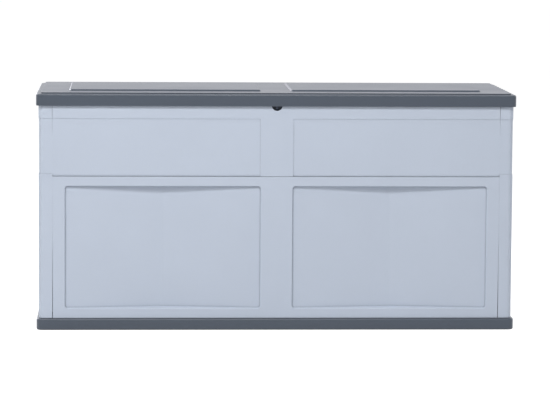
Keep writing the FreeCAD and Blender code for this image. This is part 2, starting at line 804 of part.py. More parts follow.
def make_upper_panel(side, walls, grooves):
    name = side + "_upper_panel"
    region = wall_region(name, side, (seam_z, wall_top))
    across = (minus(seam_x), seam_x)
    parts = [
        shared(name + "_skin", [walls, region]),
        shelf(name + "_seam_shelf", side, upper_root, across, (seam_z, f"{seam_z} + flange_wall")),
        shelf(name + "_rim_shelf", side, lower_root, across, (f"{wall_top} - flange_wall", wall_top)),
    ]
    parts += end_flanges(name, side, (seam_z, wall_top), True)
    parts += inner_ribs(name, side, (seam_z, wall_top), True)
    holes = list(grooves) + peg_holes(side)
    for spot_name, spot, direction in corner_spots(side, "upper"):
        holes.append(clearance_hole(spot_name + "_panel_hole", spot, direction, "corner_screw_length"))
    if side == "front":
        holes += lock_opening()
    else:
        for hand in hinge_centres:
            pad, cuts = hinge_seat(hand)
            parts.append(pad)
            holes += cuts
    return cut(name, fused(name + "_full", parts), holes)


# Side mouldings, which turn the corners and end in the posts
def side_region(name, hand, up, inner):
    """The space that a side moulding takes: its posts and, for a lower one, its recess."""
    span = (seam_x, f"({side_face} + overrun)")
    along = (f"{front_face} - overrun", f"{back_face} + overrun")
    regions = [block(name + "_posts", span if hand == "right" else mirrored(*span), along, up)]
    if inner:
        deep = (f"({seam_x} - side_fold_depth)", f"({seam_x} + overrun)")
        reach = f"({side_recess_half} + 2 * wall_skin)"
        regions.append(block(name + "_inner", deep if hand == "right" else mirrored(*deep),
                             (f"{wall_middle} - {reach}", f"{wall_middle} + {reach}"), up))
    return regions


def post_flanges(name, hand, up, upper):
    span = (seam_x, f"({seam_x} + flange_wall)")
    across = span if hand == "right" else mirrored(*span)
    return [upright(f"{name}_{side}_flange", side, across, flange_reach, up, upper)
            for side in ("front", "back")]


def post_holes(name, hand, level):
    holes = []
    for side in ("front", "back"):
        for spot_name, spot, direction in corner_spots(side, level):
            if f"_{hand}_" in spot_name:
                hole = clearance_hole(spot_name + "_post_hole", spot, direction, "corner_screw_length")
                holes.append(hole)
    return holes


def make_lower_side(hand, walls, shelf_ring, grooves):
    name = hand + "_lower_side"
    regions = side_region(name, hand, ("base_height", post_seam_z), True)
    parts = [
        shared(name + "_skin", [walls, fused(name + "_region", regions)]),
        shared(name + "_shelf", [shelf_ring, regions[0]]),
    ]
    parts += post_flanges(name, hand, (flange_foot, post_seam_z), False)
    holes = list(grooves) + peg_holes(hand) + post_holes(name, hand, "lower")
    for spot_name, spot in foot_spots(hand):
        boss, hole = boss_and_hole(spot_name, spot)
        parts.append(boss)
        holes.append(hole)
    return cut(name, fused(name + "_full", parts), holes)


grip_head = f"({field_head} - grip_below_field_head)"
grip_foot = f"({grip_head} - grip_mouth)"


def hand_grip(hand):
    """The cup of a hand grip and its hollow, which rises behind a lip above the mouth."""
    inward = SIDES[hand][1]

    def cup(name, near, far, low, high, grow):
        span = ordered(inward(near), inward(far))
        across = (f"{wall_middle} - grip_length / 2 - {grow}", f"{wall_middle} + grip_length / 2 + {grow}")
        up = (f"{low} - {grow}", f"{high} + {grow}")
        return prism(f"{hand}_{name}", "side", span, draw_rounded, across, up, f"(grip_corner + {grow})")

    raised = f"({grip_head} + grip_lip)"
    shell = cup("grip_cup", upper_root, "(grip_depth + wall_skin)", grip_foot, raised, "wall_skin")
    mouth = cup("grip_mouth", minus("overrun"), "grip_depth", grip_foot, grip_head, "0")
    hollow = cup("grip_hollow", "(field_depth + wall_skin)", "grip_depth", grip_foot, raised, "0")
    return shell, [mouth, hollow]


def make_upper_side(hand, walls, shelf_ring, rim_ring, grooves):
    name = hand + "_upper_side"
    region = side_region(name, hand, (post_seam_z, wall_top), False)[0]
    cup, cup_hollow = hand_grip(hand)
    parts = [
        shared(name + "_skin", [walls, region]),
        shared(name + "_shelf", [shelf_ring, region]),
        shared(name + "_rim", [rim_ring, region]),
        cup,
    ]
    parts += post_flanges(name, hand, (post_seam_z, wall_top), True)
    parts += inner_ribs(name, hand, (post_seam_z, wall_top), True)
    holes = list(grooves) + peg_holes(hand) + post_holes(name, hand, "upper") + cup_hollow
    return cut(name, fused(name + "_full", parts), holes)


def make_walls():
    """All eight wall mouldings, by node name."""
    lower = make_lower_walls()
    upper = make_upper_walls()
    under_seam = (f"{post_seam_z} - flange_wall", post_seam_z)
    over_seam = (post_seam_z, f"{post_seam_z} + flange_wall")
    under_lid = (f"{wall_top} - flange_wall", wall_top)
    lower_shelf = wall_ring("lower_shelf", lower_root, flange_reach, under_seam)
    upper_shelf = wall_ring("upper_shelf", upper_root, flange_reach, over_seam)
    rim = wall_ring("rim_shelf", lower_root, flange_reach, under_lid)
    grooves = {side: seam_grooves(side) for side in ("front", "back")}
    both = grooves["front"] + grooves["back"]
    upright_grooves = [groove for groove in both if "level" not in groove.Name]
    nodes = {}
    for side in ("front", "back"):
        nodes[side + "_lower_panel"] = make_lower_panel(side, lower, grooves[side])
        nodes[side + "_upper_panel"] = make_upper_panel(side, upper, grooves[side])
    for hand in ("left", "right"):
        nodes[hand + "_lower_side"] = make_lower_side(hand, lower, lower_shelf, upright_grooves)
        nodes[hand + "_upper_side"] = make_upper_side(hand, upper, upper_shelf, rim, upright_grooves)
    return nodes


# Sub-parts made as bodies
def body_sketch(body, name, view, height):
    """A sketch on one of the body's own planes, at a height along that view's axis."""
    sketch = body.newObject("Sketcher::SketchObject", name)
    plane = [item for item in body.Origin.OriginFeatures if item.Role == ORIGIN_PLANES[view]]
    sketch.AttachmentSupport = [(plane[0], "")]
    sketch.MapMode = "FlatFace"
    offset = minus(height) if view == "front" else height
    sketch.setExpression("AttachmentOffset.Base.z", bound(offset))
    return sketch


def add_pad(body, name, view, span, *drawings):
    """Adds what the drawings outline, between the (low, high) pair span along the view's axis."""
    low, high = span
    sketch = body_sketch(body, name + "_outline", view, high if view == "front" else low)
    for draw, *shape in drawings:
        draw(sketch, *shape)
    pad = body.newObject("PartDesign::Pad", name)
    pad.Profile = sketch
    pad.setExpression("Length", bound(f"({high}) - ({low})"))
    body.Tip = pad
    return pad


def cut_pocket(body, name, view, span, *drawings):
    """Cuts what the drawings outline, between the (low, high) pair span along the view's axis."""
    low, high = span
    sketch = body_sketch(body, name + "_outline", view, low if view == "front" else high)
    for draw, *shape in drawings:
        draw(sketch, *shape)
    pocket = body.newObject("PartDesign::Pocket", name)
    pocket.Profile = sketch
    pocket.setExpression("Length", bound(f"({high}) - ({low})"))
    body.Tip = pocket
    doc.recompute()
    if pocket.Shape.Volume >= pocket.BaseFeature.Shape.Volume:
        raise RuntimeError(name + " cuts nothing")
    return pocket


def ease_edges(body, name, kind, size, chosen):
    """Rounds (Fillet) or bevels (Chamfer) the edges of the body for which chosen holds."""
    doc.recompute()
    base = body.Tip
    edges = [f"Edge{index}" for index, edge in enumerate(base.Shape.Edges, start=1) if chosen(edge)]
    ease = body.newObject("PartDesign::" + kind, name)
    ease.Base = (base, edges)
    ease.setExpression("Radius" if kind == "Fillet" else "Size", bound(size))
    body.Tip = ease
    return ease


def level_edge(edge, height):
    """True for an edge that lies flat at a height."""
    box = edge.BoundBox
    return abs(box.ZMin - number(height)) < TOLERANCE and box.ZLength < TOLERANCE


def inset_plan(inset, corner):
    """A rounded rectangle in plan, drawn in from the overall size."""
    across = (f"({inset} - {half_length})", f"({half_length} - {inset})")
    along = (f"({inset} - {half_depth})", f"({half_depth} - {inset})")
    return draw_rounded, across, along, corner


def even_places(reach, pitch):
    """Whole steps of pitch to both sides of zero that stay within reach."""
    most = int(number(reach) / number(pitch))
    return range(-most, most + 1)


def rib_outlines(places, pitch, thickness, ends, across):
    """Thin rectangles at even places, either across X or, otherwise, along it."""
    drawings = []
    for place in places:
        sides = (f"({place} * {pitch} - {thickness} / 2)", f"({place} * {pitch} + {thickness} / 2)")
        drawings.append((draw_rectangle, sides, ends) if across else (draw_rectangle, ends, sides))
    return drawings


# Base tray
def make_base_tray():
    body = doc.addObject("PartDesign::Body", "base_tray")
    plate_foot = "(base_height - base_plate)"
    add_pad(body, "base_block", "plan", ("0", "base_height"), inset_plan("0", "base_corner"))
    ease_edges(body, "base_top_edge", "Fillet", "base_top_round",
               lambda edge: level_edge(edge, "base_height"))
    ease_edges(body, "base_foot_edge", "Fillet", "base_foot_round", lambda edge: level_edge(edge, "0"))
    inner_corner = "(base_corner - base_skirt)"
    skirt_inset = "(base_foot_round + base_skirt)"
    cut_pocket(body, "base_hollow", "plan", ("0", plate_foot), inset_plan(skirt_inset, inner_corner))
    reach_x, reach_y = f"({half_length} - {skirt_inset} / 2)", f"({half_depth} - {skirt_inset} / 2)"
    ribs = ("0", f"({plate_foot} + base_plate / 2)")
    clear_x, clear_y = f"({reach_x} - under_rib_pitch / 4)", f"({reach_y} - under_rib_pitch / 4)"
    cross = rib_outlines(even_places(clear_x, "under_rib_pitch"), "under_rib_pitch", "under_rib",
                         (minus(reach_y), reach_y), True)
    long = rib_outlines(even_places(clear_y, "under_rib_pitch"), "under_rib_pitch", "under_rib",
                        (minus(reach_x), reach_x), False)
    add_pad(body, "base_cross_ribs", "plan", ribs, *cross)
    add_pad(body, "base_long_ribs", "plan", ribs, *long)
    pads = []
    half = "(foot_pad / 2)"
    for step in FOOT_PAD_STEPS:
        centre = f"({step} * under_rib_pitch)"
        pads.append((draw_rectangle, (f"{centre} - {half}", f"{centre} + {half}"), (minus(half), half)))
    add_pad(body, "base_foot_pads", "plan", ribs, *pads)
    rim_inset = "(wall_skin + rim_clearance)"
    rim = ("(base_height - base_plate / 2)", "(base_height + rim_height)")
    rim_corner = f"(wall_corner - {rim_inset})"
    ring_inset = f"({rim_inset} + rim_wall)"
    add_pad(body, "base_rim", "plan", rim, (draw_rounded, *wall_plan(rim_inset, rim_corner)))
    cut_pocket(body, "base_rim_hollow", "plan", ("base_height", f"{rim[1]} + overrun"),
               (draw_rounded, *wall_plan(ring_inset, f"({rim_corner} - rim_wall)")))
    holes = []
    for side in SIDES:
        for _, (across, along, _) in foot_spots(side):
            holes.append((draw_circle, across, along, hole_radius))
    cut_pocket(body, "base_screw_holes", "plan", ("0", "base_height + overrun"), *holes)
    return body


# Lid
def raised_panel(hand, inset):
    """The outline of a raised panel of the lid, drawn in by inset."""
    near, far = "(panel_gap / 2)", f"({half_length} - panel_margin)"
    span = (f"({near} + {inset})", f"({far} - {inset})")
    across = span if hand == "right" else mirrored(*span)
    along = (f"(panel_margin + {inset} - {half_depth})", f"({half_depth} - panel_margin - {inset})")
    return draw_rounded, across, along, f"(panel_corner - {inset} / 2)"


def make_lid_shell():
    body = doc.addObject("PartDesign::Body", "lid_shell")
    add_pad(body, "lid_block", "plan", (skirt_foot, f"({ledge_top} - lid_ledge_fall)"),
            inset_plan("0", "lid_corner"))
    slope_corner = "(lid_corner - lid_ledge_slope / 2)"
    slope = [body_sketch(body, "ledge_foot", "plan", f"({ledge_top} - lid_ledge_fall)"),
             body_sketch(body, "ledge_head", "plan", ledge_top)]
    for sketch, inset, corner in zip(slope, ("0", "lid_ledge_slope"), ("lid_corner", slope_corner)):
        draw, *shape = inset_plan(inset, corner)
        draw(sketch, *shape)
    ledge = body.newObject("PartDesign::AdditiveLoft", "lid_ledge_loft")
    ledge.Profile = slope[0]
    ledge.Sections = [slope[1]]
    ledge.Ruled = True
    body.Tip = ledge
    ease_edges(body, "lid_outer_edge", "Fillet", "lid_edge_round",
               lambda edge: level_edge(edge, f"{ledge_top} - lid_ledge_fall"))
    add_pad(body, "lid_crown", "plan", (f"({ledge_top} - lid_step / 2)", lid_top),
            inset_plan("lid_ledge", "(lid_corner - lid_ledge / 2)"))
    ease_edges(body, "lid_crown_edge", "Fillet", "crown_edge_round", lambda edge: level_edge(edge, lid_top))
    panel_top = f"({lid_top} + panel_rise)"
    add_pad(body, "lid_panels", "plan", (lid_top, panel_top),
            raised_panel("left", "0"), raised_panel("right", "0"))
    ease_edges(body, "lid_panel_edges", "Chamfer", "panel_bevel", lambda edge: level_edge(edge, panel_top))
    cut_pocket(body, "lid_hollow", "plan", (skirt_foot, lid_seat),
               inset_plan("lid_skirt", "(lid_corner - lid_skirt)"))
    crown_inset = "(lid_ledge + lid_wall)"
    cut_pocket(body, "lid_crown_hollow", "plan", (f"({lid_seat} - overrun)", lid_under),
               inset_plan(crown_inset, "(lid_corner / 2)"))
    raised_under = f"({lid_under} + panel_rise / 2)"
    cut_pocket(body, "lid_panel_hollows", "plan", (f"({lid_under} - overrun)", raised_under),
               raised_panel("left", "lid_wall"), raised_panel("right", "lid_wall"))
    ease_edges(body, "lid_lip", "Fillet", "lid_lip_round", lambda edge: level_edge(edge, skirt_foot))
    ribs = (f"({lid_under} - lid_rib_depth)", f"({raised_under} + lid_step / 4)")
    reach_x = f"({half_length} - lid_skirt - lid_rib_side_margin)"
    front = f"(lid_ledge + lid_wall + lid_rib_front_margin - {half_depth})"
    back = f"({half_depth} - lid_rib_back_margin)"
    half = "(lid_rib / 2)"
    inner_x = f"({reach_x} - lid_rib_pitch / 4)"
    cross = rib_outlines(even_places(inner_x, "lid_rib_pitch"), "lid_rib_pitch", "lid_rib",
                         (front, back), True)
    for end in (minus(reach_x), reach_x):
        cross.append((draw_rectangle, (f"{end} - {half}", f"{end} + {half}"), (front, back)))
    add_pad(body, "lid_cross_ribs", "plan", ribs, *cross)
    along = rib_outlines(even_places(f"({half_depth} - lid_rib_pitch)", "lid_rib_pitch"), "lid_rib_pitch",
                         "lid_rib", (f"{minus(reach_x)} - {half}", f"{reach_x} + {half}"), False)
    for end in (front, back):
        along.append((draw_rectangle, (f"{minus(reach_x)} - {half}", f"{reach_x} + {half}"),
                      (f"{end} - {half}", f"{end} + {half}")))
    add_pad(body, "lid_long_ribs", "plan", ribs, *along)
    rear = [(draw_circle, spot[0], spot[2], hole_radius)
            for hand in hinge_centres for _, spot in leaf_screw_spots(hand, lid_leaf_y, lid_screw_z)]
    rear_end = f"({lid_leaf_y} + lid_screw_length + screw_clearance)"
    cut_pocket(body, "lid_rear_pilots", "front", (f"({half_depth} - lid_skirt - overrun)", rear_end), *rear)
    front = [(draw_circle, spot[0], spot[1], hole_radius) for _, spot in eye_screw_spots()]
    front_end = f"({lid_seat} + eye_screw_length + screw_clearance)"
    cut_pocket(body, "lid_front_pilots", "plan", (f"({lid_under} - overrun)", front_end), *front)
    return body


# Hinges
def knuckle_spans(hand):
    """Where the knuckles of a hinge lie in X: the two of the box leaf and the one of the lid leaf."""
    centre = hinge_centres[hand]
    end, inner = "(hinge_width / 2)", "(centre_knuckle / 2)"
    outer = ((f"({centre} - {end})", f"({centre} - {inner} - knuckle_gap)"),
             (f"({centre} + {inner} + knuckle_gap)", f"({centre} + {end})"))
    return outer, (f"({centre} - {inner})", f"({centre} + {inner})")


def bore_knuckles(body, name, hand):
    reach = "(hinge_width / 2 + overrun)"
    centre = hinge_centres[hand]
    cut_pocket(body, name, "side", (f"({centre} - {reach})", f"({centre} + {reach})"),
               (draw_circle, hinge_y, hinge_z, "(pin_radius + pin_clearance)"))


def countersink(body, name, face_y):
    """Bevels the rims of the screw holes that open on the face at face_y."""
    def rim(edge):
        box = edge.BoundBox
        return edge.isClosed() and box.YLength < TOLERANCE and abs(box.YMin - number(face_y)) < TOLERANCE

    ease_edges(body, name, "Chamfer", "(screw_head_radius - screw_radius)", rim)


def make_box_leaf(hand):
    """The fixed leaf: a plate let into the back wall, with two knuckles."""
    name = hand + "_box_leaf"
    body = doc.addObject("PartDesign::Body", name)
    centre = hinge_centres[hand]
    width = (f"({centre} - hinge_width / 2)", f"({centre} + hinge_width / 2)")
    plate_back = f"({back_face} - leaf_plate)"
    add_pad(body, name + "_plate", "front", (plate_back, back_face),
            (draw_rounded, width, (leaf_foot, leaf_head), "(leaf_corner / 2)"))
    outer, _ = knuckle_spans(hand)
    for step, span in enumerate(outer):
        add_pad(body, f"{name}_web_{step}", "side", span,
                (draw_rectangle, (plate_back, hinge_y), (f"({leaf_head} - leaf_web)", leaf_head)))
        add_pad(body, f"{name}_knuckle_{step}", "side", span,
                (draw_circle, hinge_y, hinge_z, "knuckle_radius"))
    bore_knuckles(body, name + "_bore", hand)
    holes = [(draw_circle, spot[0], spot[2], hole_radius)
             for _, spot in leaf_screw_spots(hand, back_face, box_screw_z)]
    cut_pocket(body, name + "_holes", "front", (f"({plate_back} - overrun)", back_face), *holes)
    countersink(body, name + "_countersinks", back_face)
    return body


def make_lid_leaf(hand):
    """The moving leaf: a plate inside the lid's rear skirt, with one knuckle."""
    name = hand + "_lid_leaf"
    body = doc.addObject("PartDesign::Body", name)
    centre = hinge_centres[hand]
    width = (f"({centre} - hinge_width / 2)", f"({centre} + hinge_width / 2)")
    plate = (lid_leaf_y, f"({lid_leaf_y} + leaf_plate)")
    up = (lid_leaf_foot, f"({lid_leaf_foot} + lid_leaf_height)")
    add_pad(body, name + "_plate", "front", plate, (draw_rounded, width, up, "(leaf_corner / 2)"))
    _, span = knuckle_spans(hand)
    add_pad(body, name + "_tongue", "side", span,
            (draw_rectangle, plate, (hinge_z, f"({lid_leaf_foot} + leaf_corner)")))
    add_pad(body, name + "_knuckle", "side", span, (draw_circle, hinge_y, hinge_z, "knuckle_radius"))
    bore_knuckles(body, name + "_bore", hand)
    holes = [(draw_circle, spot[0], spot[2], hole_radius)
             for _, spot in leaf_screw_spots(hand, lid_leaf_y, lid_screw_z)]
    cut_pocket(body, name + "_holes", "front", (lid_leaf_y, f"({plate[1]} + overrun)"), *holes)
    countersink(body, name + "_countersinks", lid_leaf_y)
    return body


def make_hinge_pin(hand):
    name = hand + "_hinge_pin"
    body = doc.addObject("PartDesign::Body", name)
    centre = hinge_centres[hand]
    start = f"({centre} - hinge_width / 2)"
    end = f"({centre} + hinge_width / 2 + pin_head)"
    add_pad(body, name + "_shank", "side", (f"({start} - pin_head / 2)", end),
            (draw_circle, hinge_y, hinge_z, "pin_radius"))
    add_pad(body, name + "_head", "side", (f"({start} - pin_head)", start),
            (draw_circle, hinge_y, hinge_z, "pin_head_radius"))

    def end_rim(edge):
        box = edge.BoundBox
        ends = (number(f"{start} - pin_head"), number(end))
        return box.XLength < TOLERANCE and min(abs(box.XMin - place) for place in ends) < TOLERANCE

    ease_edges(body, name + "_ends", "Fillet", "(pin_head / 3)", end_rim)
    return body


# Lock eye: a fin and a back plate under the lid, on a foot plate
eye_front = f"({front_face} + wall_skin + eye_gap)"
eye_centre_y = f"({eye_front} + eye_rim + eye_bore)"
eye_centre_z = f"({skirt_foot} - eye_below_skirt)"
eye_foot_front = f"(lid_ledge + lid_wall + lid_clearance - {half_depth})"
eye_screw_y = f"({eye_foot_front} + eye_screw_setback)"


def eye_screw_spots():
    return [(f"eye_{index}", (f"({sign} eye_screw_spread / 2)", eye_screw_y, lid_seat))
            for index, sign in enumerate(("-1 *", "1 *"))]


def make_lock_eye():
    body = doc.addObject("PartDesign::Body", "lock_eye")
    half = "(eye_foot_length / 2)"
    foot_along = (eye_foot_front, f"({eye_foot_front} + eye_foot_depth)")
    add_pad(body, "eye_foot", "plan", (lid_seat, lid_under),
            (draw_rounded, (minus(half), half), foot_along, "leaf_corner"))
    fin = ("(-1 * eye_plate / 2)", "(eye_plate / 2)")
    along = (eye_front, f"({eye_front} + 2 * (eye_rim + eye_bore))")
    add_pad(body, "eye_fin", "side", fin, (draw_rectangle, along, (eye_centre_z, lid_seat)))
    add_pad(body, "eye_tip", "side", fin, (draw_circle, eye_centre_y, eye_centre_z, "(eye_bore + eye_rim)"))
    back = (f"({along[1]} - eye_back)", along[1])
    add_pad(body, "eye_back_plate", "front", back,
            (draw_rounded, (minus("eye_back_half"), "eye_back_half"),
             (f"({skirt_foot} - eye_back_drop)", lid_seat), "leaf_corner"))
    cut_pocket(body, "eye_bore_cut", "side", (f"({fin[0]} - overrun)", f"({fin[1]} + overrun)"),
               (draw_circle, eye_centre_y, eye_centre_z, "eye_bore"))
    holes = [(draw_circle, spot[0], spot[1], hole_radius) for _, spot in eye_screw_spots()]
    through = (f"({lid_seat} - overrun)", f"({lid_under} + overrun)")
    cut_pocket(body, "eye_screw_holes", "plan", through, *holes)
    ease_edges(body, "eye_countersinks", "Chamfer", "(screw_head_radius - screw_radius)",
               lambda edge: edge.isClosed() and level_edge(edge, lid_seat))
    return body


# Groups of like fasteners
def make_fasteners():
    """The screws and pegs, one node for each kind, by node name."""
    hands = tuple(hinge_centres)
    box_screws = [flush_screw(f"box_screw_{name}", spot, "-y", "box_screw_length")
                  for hand in hands for name, spot in leaf_screw_spots(hand, back_face, box_screw_z)]
    lid_screws = [flush_screw(f"lid_screw_{name}", spot, "+y", "lid_screw_length")
                  for hand in hands for name, spot in leaf_screw_spots(hand, lid_leaf_y, lid_screw_z)]
    eye_screws = [flush_screw(f"screw_{name}", spot, "+z", "eye_screw_length")
                  for name, spot in eye_screw_spots()]
    corner_screws = [pan_screw(f"corner_screw_{name}", spot, direction, "corner_screw_length")
                     for side in ("front", "back") for level in corner_levels
                     for name, spot, direction in corner_spots(side, level)]
    foot_screws = [pan_screw(f"foot_screw_{name}", (across, along, "(base_height - base_plate)"), "+z",
                             "foot_screw_length")
                   for side in SIDES for name, (across, along, _) in foot_spots(side)]
    pegs = [peg(name, spot) for side in SIDES for name, spot in peg_spots(side)]
    return {
        "hinge_box_screws": group("hinge_box_screws", box_screws),
        "hinge_lid_screws": group("hinge_lid_screws", lid_screws),
        "lock_eye_screws": group("lock_eye_screws", eye_screws),
        "corner_screws": group("corner_screws", corner_screws),
        "foot_screws": group("foot_screws", foot_screws),
        "seam_pegs": group("seam_pegs", pegs),
    }


def failed_objects():
    return [item.Name for item in doc.Objects if {"Invalid", "Error"} & set(item.State)]


def write_nodes(nodes):
    """Checks every object of the document and writes each sub-part's solid under its name."""
    doc.recompute()
    wrong = failed_objects()
    for name, item in nodes.items():
        item.Label = name
        if item.Shape.isNull() or not item.Shape.isValid():
            wrong.append(name)
    if wrong:
        raise RuntimeError("failed: " + ", ".join(sorted(set(wrong))))
    os.makedirs("parts", exist_ok=True)
    for name, item in nodes.items():
        item.Shape.exportStep(f"parts/{name}.step")
        print(f"{name:24s} solids {len(item.Shape.Solids):2d} litres {item.Shape.Volume / 1e6:6.3f}")


nodes = make_walls()
nodes["base_tray"] = make_base_tray()
nodes["lid_shell"] = make_lid_shell()
for hand in hinge_centres:
    nodes[hand + "_box_leaf"] = make_box_leaf(hand)
    nodes[hand + "_lid_leaf"] = make_lid_leaf(hand)
    nodes[hand + "_hinge_pin"] = make_hinge_pin(hand)
nodes["lock_eye"] = make_lock_eye()
nodes.update(make_fasteners())
write_nodes(nodes)
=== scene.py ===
import json
import math

import bmesh
import bpy
from mathutils import Matrix, Vector


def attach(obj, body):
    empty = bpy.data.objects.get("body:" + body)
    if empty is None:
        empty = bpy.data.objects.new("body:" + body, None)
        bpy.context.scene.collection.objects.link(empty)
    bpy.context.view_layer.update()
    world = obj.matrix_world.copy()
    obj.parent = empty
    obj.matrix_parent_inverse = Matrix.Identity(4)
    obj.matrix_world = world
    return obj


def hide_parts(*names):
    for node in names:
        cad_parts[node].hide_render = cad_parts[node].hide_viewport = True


# Garden storage box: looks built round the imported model, in metres.
# The box stands on z = 0 with its front facing -Y.
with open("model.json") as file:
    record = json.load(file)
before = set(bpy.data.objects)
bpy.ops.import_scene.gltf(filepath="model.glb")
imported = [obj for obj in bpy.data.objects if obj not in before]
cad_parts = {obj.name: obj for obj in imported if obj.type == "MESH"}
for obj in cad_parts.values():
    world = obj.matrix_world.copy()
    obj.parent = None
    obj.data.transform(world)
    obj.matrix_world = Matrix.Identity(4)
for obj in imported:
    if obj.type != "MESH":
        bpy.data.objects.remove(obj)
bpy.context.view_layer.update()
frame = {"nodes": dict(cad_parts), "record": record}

# Camera, fitted to the photograph's outline of the box, with its angles in degrees
CAMERA_SPOT = (-0.369, -7.230, 1.040)
CAMERA_PITCH = 5.942
CAMERA_YAW = 2.982
CAMERA_ROLL = 0.374
CAMERA_LENS = 186.07

# Backdrop: the colours and strengths that light the box, and those that are seen
WHITE = (1, 1, 1, 1)
DAYLIGHT = (0.97, 0.985, 1.0, 1)
DAYLIGHT_STRENGTH = 0.27
FLOOR_REACH = 40.0
FLOOR_BOUNCE = (0.86, 0.86, 0.86, 1)
FLOOR_PAINT = (0.40, 0.40, 0.40, 1)
FLOOR_GLOW = 0.91

# Soft lights: name, spot, target, size, power and colour
LIGHTS = (
    ("key", (-2.7, -3.0, 2.9), (0, 0, 0.3), (1.0, 0.8), 49, (1.0, 0.985, 0.97)),
    ("overhead", (-0.25, -2.4, 3.3), (-0.1, -0.2, 0.3), (2.2, 0.45), 82, (1.0, 0.99, 0.98)),
    ("behind", (-2.4, 1.9, 3.8), (0, 0.1, 0.3), (2.4, 1.2), 50, (0.97, 0.975, 1.0)),
    ("rear", (-2.3, 3.3, 1.9), (0, 0.2, 0.3), (1.6, 1.4), 42, (0.94, 0.95, 1.0)),
    ("side", (3.4, 0.7, 1.8), (0.5, 0, 0.3), (1.6, 1.2), 24, (1, 1, 1)),
    ("fill", (3.2, -4.6, 1.6), (0, 0, 0.3), (3.0, 2.4), 4, (1, 1, 1)),
)

# Linear colours
WALL_COLOUR = (0.464, 0.518, 0.612)
DARK_COLOUR = (0.052, 0.067, 0.092)
FITTING_COLOUR = (0.058, 0.080, 0.128)
PEG_COLOUR = (0.430, 0.480, 0.560)
STEEL_COLOUR = (0.600, 0.595, 0.580)
# Colour of the painted highlight on chamfers that face up and to the left
PAINTED_HIGHLIGHT_COLOUR = (0.230, 0.240, 0.290)
SHEEN_TINT = (0.78, 0.76, 1.0, 1)

# Noise in the surfaces, its scale per metre
NOISE_ROUGHNESS = 0.55
CLOUDS = {"scale": 4.5}
SPECKS = {"scale": 420.0, "detail": 1.0}
SCUFFS = {"scale": 9.0, "detail": 6.0, "stretch": (1, 14, 9)}
FLOW = {"scale": 3.2, "detail": 2.0, "stretch": (1, 3.4, 2.2)}
FINE_GRAIN = {"scale": 1500.0, "detail": 2.0}
GRAIN_SCALE = 620.0
BLOOM = {"scale": 260.0}
MARKS = {"scale": 60.0, "detail": 2.0}

# Bumps: height in metres, and strength where it is fixed
FLOW_HEIGHT = 0.004
GRAIN_BUMP = (0.00008, 0.5)
FINE_GRAIN_BUMP = (0.00004, 0.4)
MARK_BUMP = (0.00004, 0.5)

# Ranges of a noise or a mask that are carried to 0..1 or to a share
SPECK_RANGE = (0.62, 0.75)
SCUFF_RANGE = (0.66, 0.78)
EDGE_RANGE = (0.99, 0.80)
PAINTED_HIGHLIGHT_RANGE = (0.85, 0.97)
PAINTED_SHADE_RANGE = (0.90, 0.45)
MIDDLE_RANGE = (0.3, 0.7)

# Reaches of the masks in metres, and the direction that the chamfers with a painted highlight face
MASK_SAMPLES = 4
EDGE_REACH = 0.0015
# Reach of the painted shade in corners and joints
PAINTED_SHADE_REACH = 0.004
PAINTED_HIGHLIGHT_FACING = (-0.707, 0, 0.707)

# Tones multiply a colour, and shares say how much of them shows
CLOUD_TONES = (0.965, 1.035)
SPECK_TONE = 0.90
SPECK_SHARE = 0.35
# Paler edges: part wear, part painted highlight
EDGE_WEAR_AND_HIGHLIGHT_TONE = 1.9
# Painted shade in corners and joints: its tone and share
PAINTED_SHADE_TONE = 0.38
PAINTED_SHADE_SHARE = 0.8
BLOOM_TONES = (0.80, 1.08)

# Gloss
CLOUD_ROUGHNESS = 0.03
SCUFF_ROUGHNESS = 0.10
BLOOM_ROUGHNESS = (0.24, 0.40)
SHEEN_ROUGHNESS = 0.4
RESIN_IOR = 1.5


# Node trees
def add_node(tree, kind, inputs=(), **settings):
    """A node with its settings and inputs. An input that is a socket is linked."""
    node = tree.nodes.new(kind)
    for name, value in settings.items():
        setattr(node, name, value)
    for name, value in dict(inputs).items():
        if isinstance(value, bpy.types.NodeSocket):
            tree.links.new(value, node.inputs[name])
        else:
            node.inputs[name].default_value = value
    return node


def clear_tree(owner):
    """The empty node tree of a material or world."""
    owner.use_nodes = True
    owner.node_tree.nodes.clear()
    return owner.node_tree


def seen_ray(tree):
    """1 where a camera, glossy or transmission ray looks at the backdrop."""
    path = add_node(tree, "ShaderNodeLightPath")
    first = add_node(tree, "ShaderNodeMath", operation="MAXIMUM",
                     inputs={0: path.outputs["Is Camera Ray"], 1: path.outputs["Is Glossy Ray"]})
    last = add_node(tree, "ShaderNodeMath", operation="MAXIMUM",
                    inputs={0: first.outputs[0], 1: path.outputs["Is Transmission Ray"]})
    return last.outputs[0]


def lit_or_seen(tree, lit, seen):
    """One shader for the light that reaches the box, and another for what is seen."""
    mix = add_node(tree, "ShaderNodeMixShader",
                   inputs={0: seen_ray(tree), 1: lit.outputs[0], 2: seen.outputs[0]})
    return mix.outputs[0]


# Stage
def make_camera():
    """The camera in its place, looking along -Z before it is turned."""
    data = bpy.data.cameras.new("camera")
    data.lens = CAMERA_LENS
    camera = bpy.data.objects.new("camera", data)
    turn = (Matrix.Rotation(math.radians(-CAMERA_YAW), 4, "Z")
            @ Matrix.Rotation(math.radians(90 - CAMERA_PITCH), 4, "X")
            @ Matrix.Rotation(math.radians(CAMERA_ROLL), 4, "Z"))
    camera.matrix_world = Matrix.Translation(CAMERA_SPOT) @ turn
    bpy.context.scene.collection.objects.link(camera)
    bpy.context.scene.camera = camera


def make_world():
    """Soft daylight from all sides, seen as white."""
    world = bpy.data.worlds.new("studio")
    bpy.context.scene.world = world
    tree = clear_tree(world)
    light = add_node(tree, "ShaderNodeBackground",
                     inputs={"Color": DAYLIGHT, "Strength": DAYLIGHT_STRENGTH})
    white = add_node(tree, "ShaderNodeBackground", inputs={"Color": WHITE, "Strength": 1.0})
    add_node(tree, "ShaderNodeOutputWorld", inputs={0: lit_or_seen(tree, light, white)})


